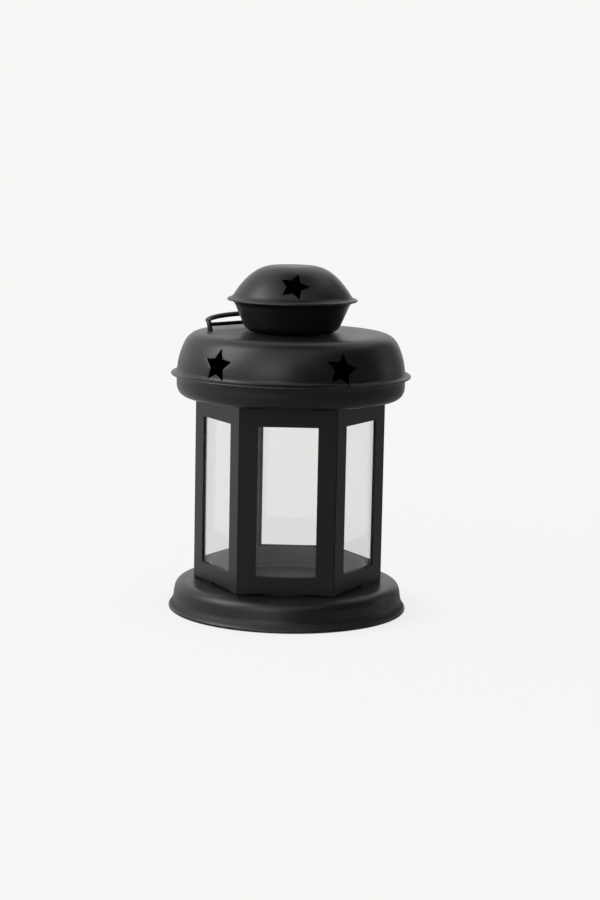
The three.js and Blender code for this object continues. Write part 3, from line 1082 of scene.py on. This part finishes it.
@dataclass
class Roof:
    """The pan that closes the body and the dome with its stars, joined at a thin rim.

    Sizes are in millimetres; a pair rounds a bend by one length before it and one after it."""

    stock: Stock
    paint: BlackPaint
    rim: float = 72.612
    ledge: float = 3.4
    opening: float = 44.0
    pan_corner: float = 8.5
    pan_bend: tuple[float, float] = (3.0, 2.3)
    dome_bend: float = 2.6
    haunch_lean: float = 1.1
    haunch_rise: float = 10.2
    haunch_corner: float = 7.0
    shoulder_lean: float = 7.5
    shoulder: float = 8.0
    vent: float = 17.8
    stars: StarVent = StarVent(
        count=5, tip=9.9, level=153.9, bearing=27.1, spacing=73.65, tilt=12.7, drift=2.8, pitch=0.0
    )
    hole: float = 5.0
    hole_depth: float = 5.0
    hole_facets: int = 32
    hole_bearings: tuple[float, float] = (90.0, 180.0)

    def drills(self) -> list[bpy.types.Object]:
        """Round bars that cut the handle's holes.

        Returns:
            One bar for each hole.
        """
        drills = []
        for bearing in self.hole_bearings:
            turn = Matrix.Rotation(math.radians(bearing), 3, "Z")
            Bench.clear()
            bpy.ops.mesh.primitive_cylinder_add(
                vertices=self.hole_facets,
                radius=self.hole / 2 * MM,
                depth=self.hole_depth * MM,
                location=turn @ Vector((self.stock.hinge_reach, 0.0, self.stock.roof_top)) * MM,
            )
            drills.append(Bench.named("drill"))
            Bench.settle(drills[-1])
        return drills

    def build(self) -> None:
        """Makes and dresses the pan and the dome."""
        stock = self.stock
        wall = self.rim - self.ledge
        line = rounded([
            Corner(self.opening, stock.pan_bottom),
            Corner(wall, stock.pan_bottom, self.pan_corner),
            Corner(wall, stock.roof_seam - stock.gap, *self.pan_bend),
            stock.tucked(self.rim, stock.roof_lip),
        ])
        pan = Bench.shell("pan", line, stock.leaf, stock.edge)
        dress(pan, self.paint.material("pan paint", shade_inside=ShadeInside.IN_CUP), Body.UPPER, Slot.PAINT, "roof_pan")

        line = rounded([
            *stock.curled(self.rim, stock.roof_lip),
            Corner(wall, stock.roof_rim_top + stock.gap, self.dome_bend),
            Corner(wall - self.haunch_lean, stock.roof_rim_top + self.haunch_rise, self.haunch_corner),
            Corner(wall - self.shoulder_lean, stock.roof_top, self.shoulder),
            Corner(self.vent, stock.roof_top),
        ])
        tools = self.stars.punches(line) + self.drills()
        dome = Bench.shell("dome", line, stock.skin, stock.edge, tools)
        finish = self.paint.material("dome paint", self.rim, ShadeInside.UNDER_DOME)
        dress(dome, finish, Body.UPPER, Slot.PAINT, "roof_dome")


@dataclass
class Crown:
    """The flaring neck and the cap with its stars, joined at a thin rim.

    Sizes are in millimetres; a pair rounds a bend by one length before it and one after it."""

    stock: Stock
    paint: BlackPaint
    rim: float = 39.3
    spigot: float = 17.55
    spigot_drop: float = 3.0
    foot: float = 27.5
    foot_corner: float = 5.0
    neck_ledge: float = 3.8
    neck_bend: tuple[float, float] = (3.6, 2.6)
    cap_ledge: float = 2.7
    cap_lean: float = 12.5
    cap_bend: tuple[float, float] = (1.9, 2.6)
    cap_corner: tuple[float, float] = (20.0, 13.0)
    stars: StarVent = StarVent(
        count=3, tip=9.2, level=199.2, bearing=3.2, spacing=120.0, tilt=16.0, drift=0.0, pitch=20.0
    )

    def build(self) -> None:
        """Makes and dresses the neck and the cap."""
        stock = self.stock
        line = rounded([
            Corner(self.spigot, stock.roof_top - stock.sheet - self.spigot_drop),
            Corner(self.spigot, stock.neck_bottom),
            Corner(self.foot, stock.neck_bottom, self.foot_corner),
            Corner(self.rim - self.neck_ledge, stock.cap_seam - stock.gap, *self.neck_bend),
            stock.tucked(self.rim, stock.cap_lip),
        ])
        neck = Bench.shell("neck", line, stock.leaf, stock.edge)
        dress(neck, self.paint.material("neck paint", shade_inside=ShadeInside.IN_CUP), Body.UPPER, Slot.PAINT, "neck_cup")

        wall = self.rim - self.cap_ledge
        line = rounded([
            *stock.curled(self.rim, stock.cap_lip),
            Corner(wall, stock.cap_rim_top + stock.gap, *self.cap_bend),
            Corner(wall - self.cap_lean, stock.cap_top, *self.cap_corner),
            Corner(0.0, stock.cap_top),
        ])
        cap = Bench.shell("cap", line, stock.skin, stock.edge, self.stars.punches(line))
        finish = self.paint.material("cap paint", self.rim, ShadeInside.UNDER_DOME)
        dress(cap, finish, Body.UPPER, Slot.PAINT, "cap_dome")


@dataclass
class Handle:
    """The bent wire that swings in two holes of the roof, with a straight wire between its legs.

    Sizes are in millimetres, angles in degrees."""

    stock: Stock
    paint: BlackPaint
    wire: float = 3.0
    brace: float = 2.4
    brace_share: float = 0.74
    bearing: float = 135.0
    spread: float = 45.0
    reach: float = 11.5
    lean: float = 17.0
    rise: float = 5.0
    lift: float = 2.8
    foot_drop: float = 3.2
    foot: float = 6.0
    arch_steps: int = 8
    loop_fill: int = 8
    brace_fill: int = 12
    round_steps: int = 5
    crease: float = 50.0

    def route(self) -> Line:
        """The wire's middle line: x along the hinge, y away from the axis, z up from the roof's sheet.

        Returns:
            Its points.
        """
        half = self.stock.hinge_reach * math.sin(math.radians(self.spread))
        lean = math.tan(math.radians(self.lean))
        bend = self.rise * lean
        back = -self.foot_drop * lean
        leg = [
            Vector((half - self.foot, back, -self.foot_drop)),
            Vector((half - self.wire / 2, back, -self.foot_drop)),
            Vector((half, 0.0, 0.0)),
        ]
        turns = [math.pi * i / self.arch_steps for i in range(self.arch_steps + 1)]
        arch = [
            Vector((
                half * math.cos(turn),
                bend + (self.reach - bend) * math.sin(turn),
                self.rise + self.lift * math.sin(turn),
            ))
            for turn in turns
        ]
        other = [Vector((-point.x, point.y, point.z)) for point in reversed(leg)]
        return leg + arch + other

    def bent(self, name: str, points: Line, diameter: float, fill: int) -> bpy.types.Object:
        """A round wire along a route.

        Args:
            name: Name of the object.
            points: The route, in millimetres from the middle of the hinge.
            diameter: Thickness of the wire.
            fill: Steps between each two points.

        Returns:
            The wire as a mesh.
        """
        line: Line = []
        for i in range(len(points) - 1):
            before = points[max(i - 1, 0)]
            start, end = points[i], points[i + 1]
            after = points[min(i + 2, len(points) - 1)]
            for k in range(fill):
                t = k / fill
                bow = (end - before) * t + (2 * before - 5 * start + 4 * end - after) * t**2
                line.append(start + 0.5 * (bow + (3 * start - before - 3 * end + after) * t**3))
        line.append(points[-1])
        curve = bpy.data.curves.new(name, "CURVE")
        curve.dimensions = "3D"
        curve.bevel_depth = diameter / 2 * MM
        curve.bevel_resolution = self.round_steps
        curve.use_fill_caps = True
        spline = curve.splines.new("POLY")
        spline.points.add(len(line) - 1)
        for point, at in zip(spline.points, line):
            point.co = (*(at * MM), 1.0)
        piece = bpy.data.objects.new(name, curve)
        bpy.context.collection.objects.link(piece)
        Bench.take(piece)
        bpy.ops.object.convert(target="MESH")
        return bpy.context.object

    def build(self) -> None:
        """Makes and dresses the handle."""
        route = self.route()
        wire = self.bent("handle", route, self.wire, self.loop_fill)
        hinge, bend = route[2:4]
        end = hinge.lerp(bend, self.brace_share)
        other = Vector((-end.x, end.y, end.z))
        brace = self.bent("brace", [end, other], self.brace, self.brace_fill)
        for piece in (wire, brace):
            Bench.clean(piece)
        Bench.weld(wire, brace)
        angle = math.radians(self.bearing)
        middle = self.stock.hinge_reach * math.cos(math.radians(self.spread))
        wire.location = Vector((
            middle * math.cos(angle),
            middle * math.sin(angle),
            self.stock.roof_top - self.stock.sheet / 2,
        )) * MM
        wire.rotation_euler.z = angle - math.pi / 2
        Bench.settle(wire)
        Bench.smooth(wire, self.crease)
        dress(wire, self.paint.material("handle paint"), Body.HANDLE, Slot.PAINT, "handle_loop")


@dataclass(frozen=True)
class Board:
    """A card or lamp of the studio: place, width and height in metres, its tone or its watts,
    and the point that it faces."""

    name: str
    at: Place
    size: tuple[float, float]
    strength: float
    aim: Place = (0.0, 0.0, 0.12)

    def turn(self, front: str) -> Euler:
        """The turn that brings one axis of the board round to the point that it faces."""
        return (Vector(self.aim) - Vector(self.at)).to_track_quat(front, "Y").to_euler()


@dataclass
class Studio:
    """The pale floor and backdrop, the soft lamps and the camera.

    The floor is in metres and the camera's place in millimetres. The camera's roll is in degrees,
    its pitch and yaw in radians."""

    backdrop: Colour = (0.930, 0.930, 0.913)
    daylight: float = 0.62
    shade_share: float = 0.05
    contact_share: float = 0.1
    dim: float = 0.27
    far: float = 0.74
    floor_size: float = 30.0
    floor_drop: float = 0.0003
    floor_tone: Colour = (0.86, 0.86, 0.85)
    contact_band: tuple[float, float] = (0.07, 0.105)
    shade_band: tuple[float, float] = (0.18, 0.6)
    far_band: tuple[float, float] = (-0.25, 0.45)
    far_slant: float = 1.6
    cards: tuple[Board, ...] = (
        Board("right card", (0.95, -0.35, 0.62), (1.6, 1.2), 0.09, (0.0, -0.1, 0.12)),
        Board("front card", (0.55, -1.75, 0.6), (1.5, 1.1), 0.06),
        Board("back card", (1.0, 1.0, 0.5), (0.85, 1.3), 0.34),
        Board("high card", (0.15, 0.0, 1.7), (1.1, 1.3), 0.05),
    )
    lamps: tuple[Board, ...] = (
        Board("key", (-1.05, -0.22, 0.92), (0.85, 0.85), 9.8),
        Board("fill", (-0.55, -1.5, 0.75), (1.0, 0.8), 3.7),
    )
    focal: float = 2122.06
    image: tuple[int, int] = (600, 900)
    sensor: float = 36.0
    clip_end: float = 100.0
    eye: Place = (24.5, -1277.27, 296.957)
    pitch: float = 0.155
    yaw: float = 0.0142
    roll: float = 1.15

    def seen(self, net: Net) -> Value:
        """1 on rays that show the backdrop: straight, mirrored or through glass."""
        straight, mirrored, through = (
            net.node("ShaderNodeLightPath", output=name)
            for name in ("Is Camera Ray", "Is Glossy Ray", "Is Transmission Ray")
        )
        return straight.highest(mirrored).highest(through)

    def floor(self) -> None:
        """A wide pale floor that melts into the backdrop and keeps the shadow; in reflections it carries
        painted shade, darker in front.
        """
        Bench.clear()
        bpy.ops.mesh.primitive_plane_add(size=self.floor_size, location=(0.0, 0.0, -self.floor_drop))
        floor = Bench.named("floor")
        Bench.settle(floor)
        material, net = new_material("floor")
        radius = net.node("ShaderNodeVectorMath", {"operation": "LENGTH"}, {0: net.place()}, output="Value")
        contact = self.contact_share * (1 - radius.between(*self.contact_band))
        share = 1 - contact - self.shade_share * (1 - radius.between(*self.shade_band))
        lit = net.node("ShaderNodeBsdfDiffuse", inputs={"Color": (*self.floor_tone, 1.0)})
        across = net.node("ShaderNodeSeparateXYZ", inputs={0: net.place()}, output="X")
        back = net.node("ShaderNodeSeparateXYZ", inputs={0: net.place()}, output="Y")
        mirrored = net.node("ShaderNodeLightPath", output="Is Glossy Ray")
        through = net.node("ShaderNodeLightPath", output="Is Transmission Ray")
        # Painted shade in reflections: the floor mirrored by the paint is darker in front and brighter
        # behind.
        away = (back - self.far_slant * across).between(*self.far_band)
        plain = net.node("ShaderNodeEmission", inputs={"Color": (*self.backdrop, 1.0)})
        black = net.node("ShaderNodeEmission", inputs={"Strength": 0.0})
        dimmed = mirrored * (1 - through) * (1 - self.dim - (self.far - self.dim) * away)
        shown = net.node("ShaderNodeMixShader", inputs={0: dimmed, 1: plain, 2: black})
        net.finish(net.node("ShaderNodeMixShader", inputs={0: self.seen(net) * share, 1: lit, 2: shown}))
        floor.data.materials.append(material)

    def world(self) -> None:
        """A pale backdrop that gives an even light."""
        world = bpy.data.worlds.new("studio")
        bpy.context.scene.world = world
        world.use_nodes = True
        net = Net(world.node_tree)
        shown = net.node("ShaderNodeBackground", inputs={"Color": (*self.backdrop, 1.0), "Strength": 1.0})
        white = {"Color": (1.0, 1.0, 1.0, 1.0), "Strength": self.daylight}
        even = net.node("ShaderNodeBackground", inputs=white)
        mixed = net.node("ShaderNodeMixShader", inputs={0: self.seen(net), 1: even, 2: shown})
        net.node("ShaderNodeOutputWorld", inputs={"Surface": mixed})

    def card(self, board: Board) -> None:
        """A dark card that the paint mirrors on one side, out of the camera's sight."""
        Bench.clear()
        bpy.ops.mesh.primitive_plane_add(size=1.0, location=board.at)
        card = Bench.named(board.name)
        card.rotation_euler = board.turn("Z")
        card.scale = (*board.size, 1.0)
        Bench.settle(card)
        material, net = new_material(board.name)
        tone = (board.strength, board.strength, board.strength, 1.0)
        net.finish(net.node("ShaderNodeBsdfDiffuse", inputs={"Color": tone}))
        card.data.materials.append(material)
        card.visible_camera = False
        card.visible_transmission = False
        card.visible_diffuse = False
        card.visible_shadow = False

    def lamp(self, board: Board) -> None:
        """A soft rectangular lamp."""
        Bench.clear()
        bpy.ops.object.light_add(type="AREA", location=board.at)
        lamp = Bench.named(board.name)
        lamp.data.shape = "RECTANGLE"
        lamp.data.size, lamp.data.size_y = board.size
        lamp.data.energy = board.strength
        lamp.rotation_euler = board.turn("-Z")

    def camera(self) -> None:
        """The camera at the picture's height and angle."""
        Bench.clear()
        bpy.ops.object.camera_add()
        camera = Bench.named("camera")
        camera.data.sensor_fit = "AUTO"
        camera.data.sensor_width = self.sensor
        camera.data.lens = self.focal / max(self.image) * self.sensor
        camera.data.clip_end = self.clip_end
        there = Matrix.Translation(Vector(self.eye) * MM)
        yaw = Matrix.Rotation(self.yaw, 4, "Z")
        down = Matrix.Rotation(math.pi / 2 - self.pitch, 4, "X")
        roll = Matrix.Rotation(math.radians(self.roll), 4, "Z")
        camera.matrix_world = there @ yaw @ down @ roll
        bpy.context.scene.camera = camera

    def build(self) -> None:
        """Sets up the studio."""
        self.floor()
        self.world()
        for board in self.cards:
            self.card(board)
        for board in self.lamps:
            self.lamp(board)
        self.camera()
        bpy.context.scene.view_settings.view_transform = "Standard"


def main() -> None:
    """Builds the lantern and its studio."""
    logging.basicConfig(level=logging.INFO, format="%(name)s: %(message)s")
    stock, paint, glass = Stock(), BlackPaint(), ClearGlass()
    assemblies = [
        Base(stock, paint),
        Sides(stock, paint, glass),
        Roof(stock, paint),
        Crown(stock, paint),
        Handle(stock, paint),
        Studio(),
    ]
    for assembly in assemblies:
        assembly.build()
        LOG.info("%s built", type(assembly).__name__)
    Bench.clear()


if __name__ == "__main__":
    main()
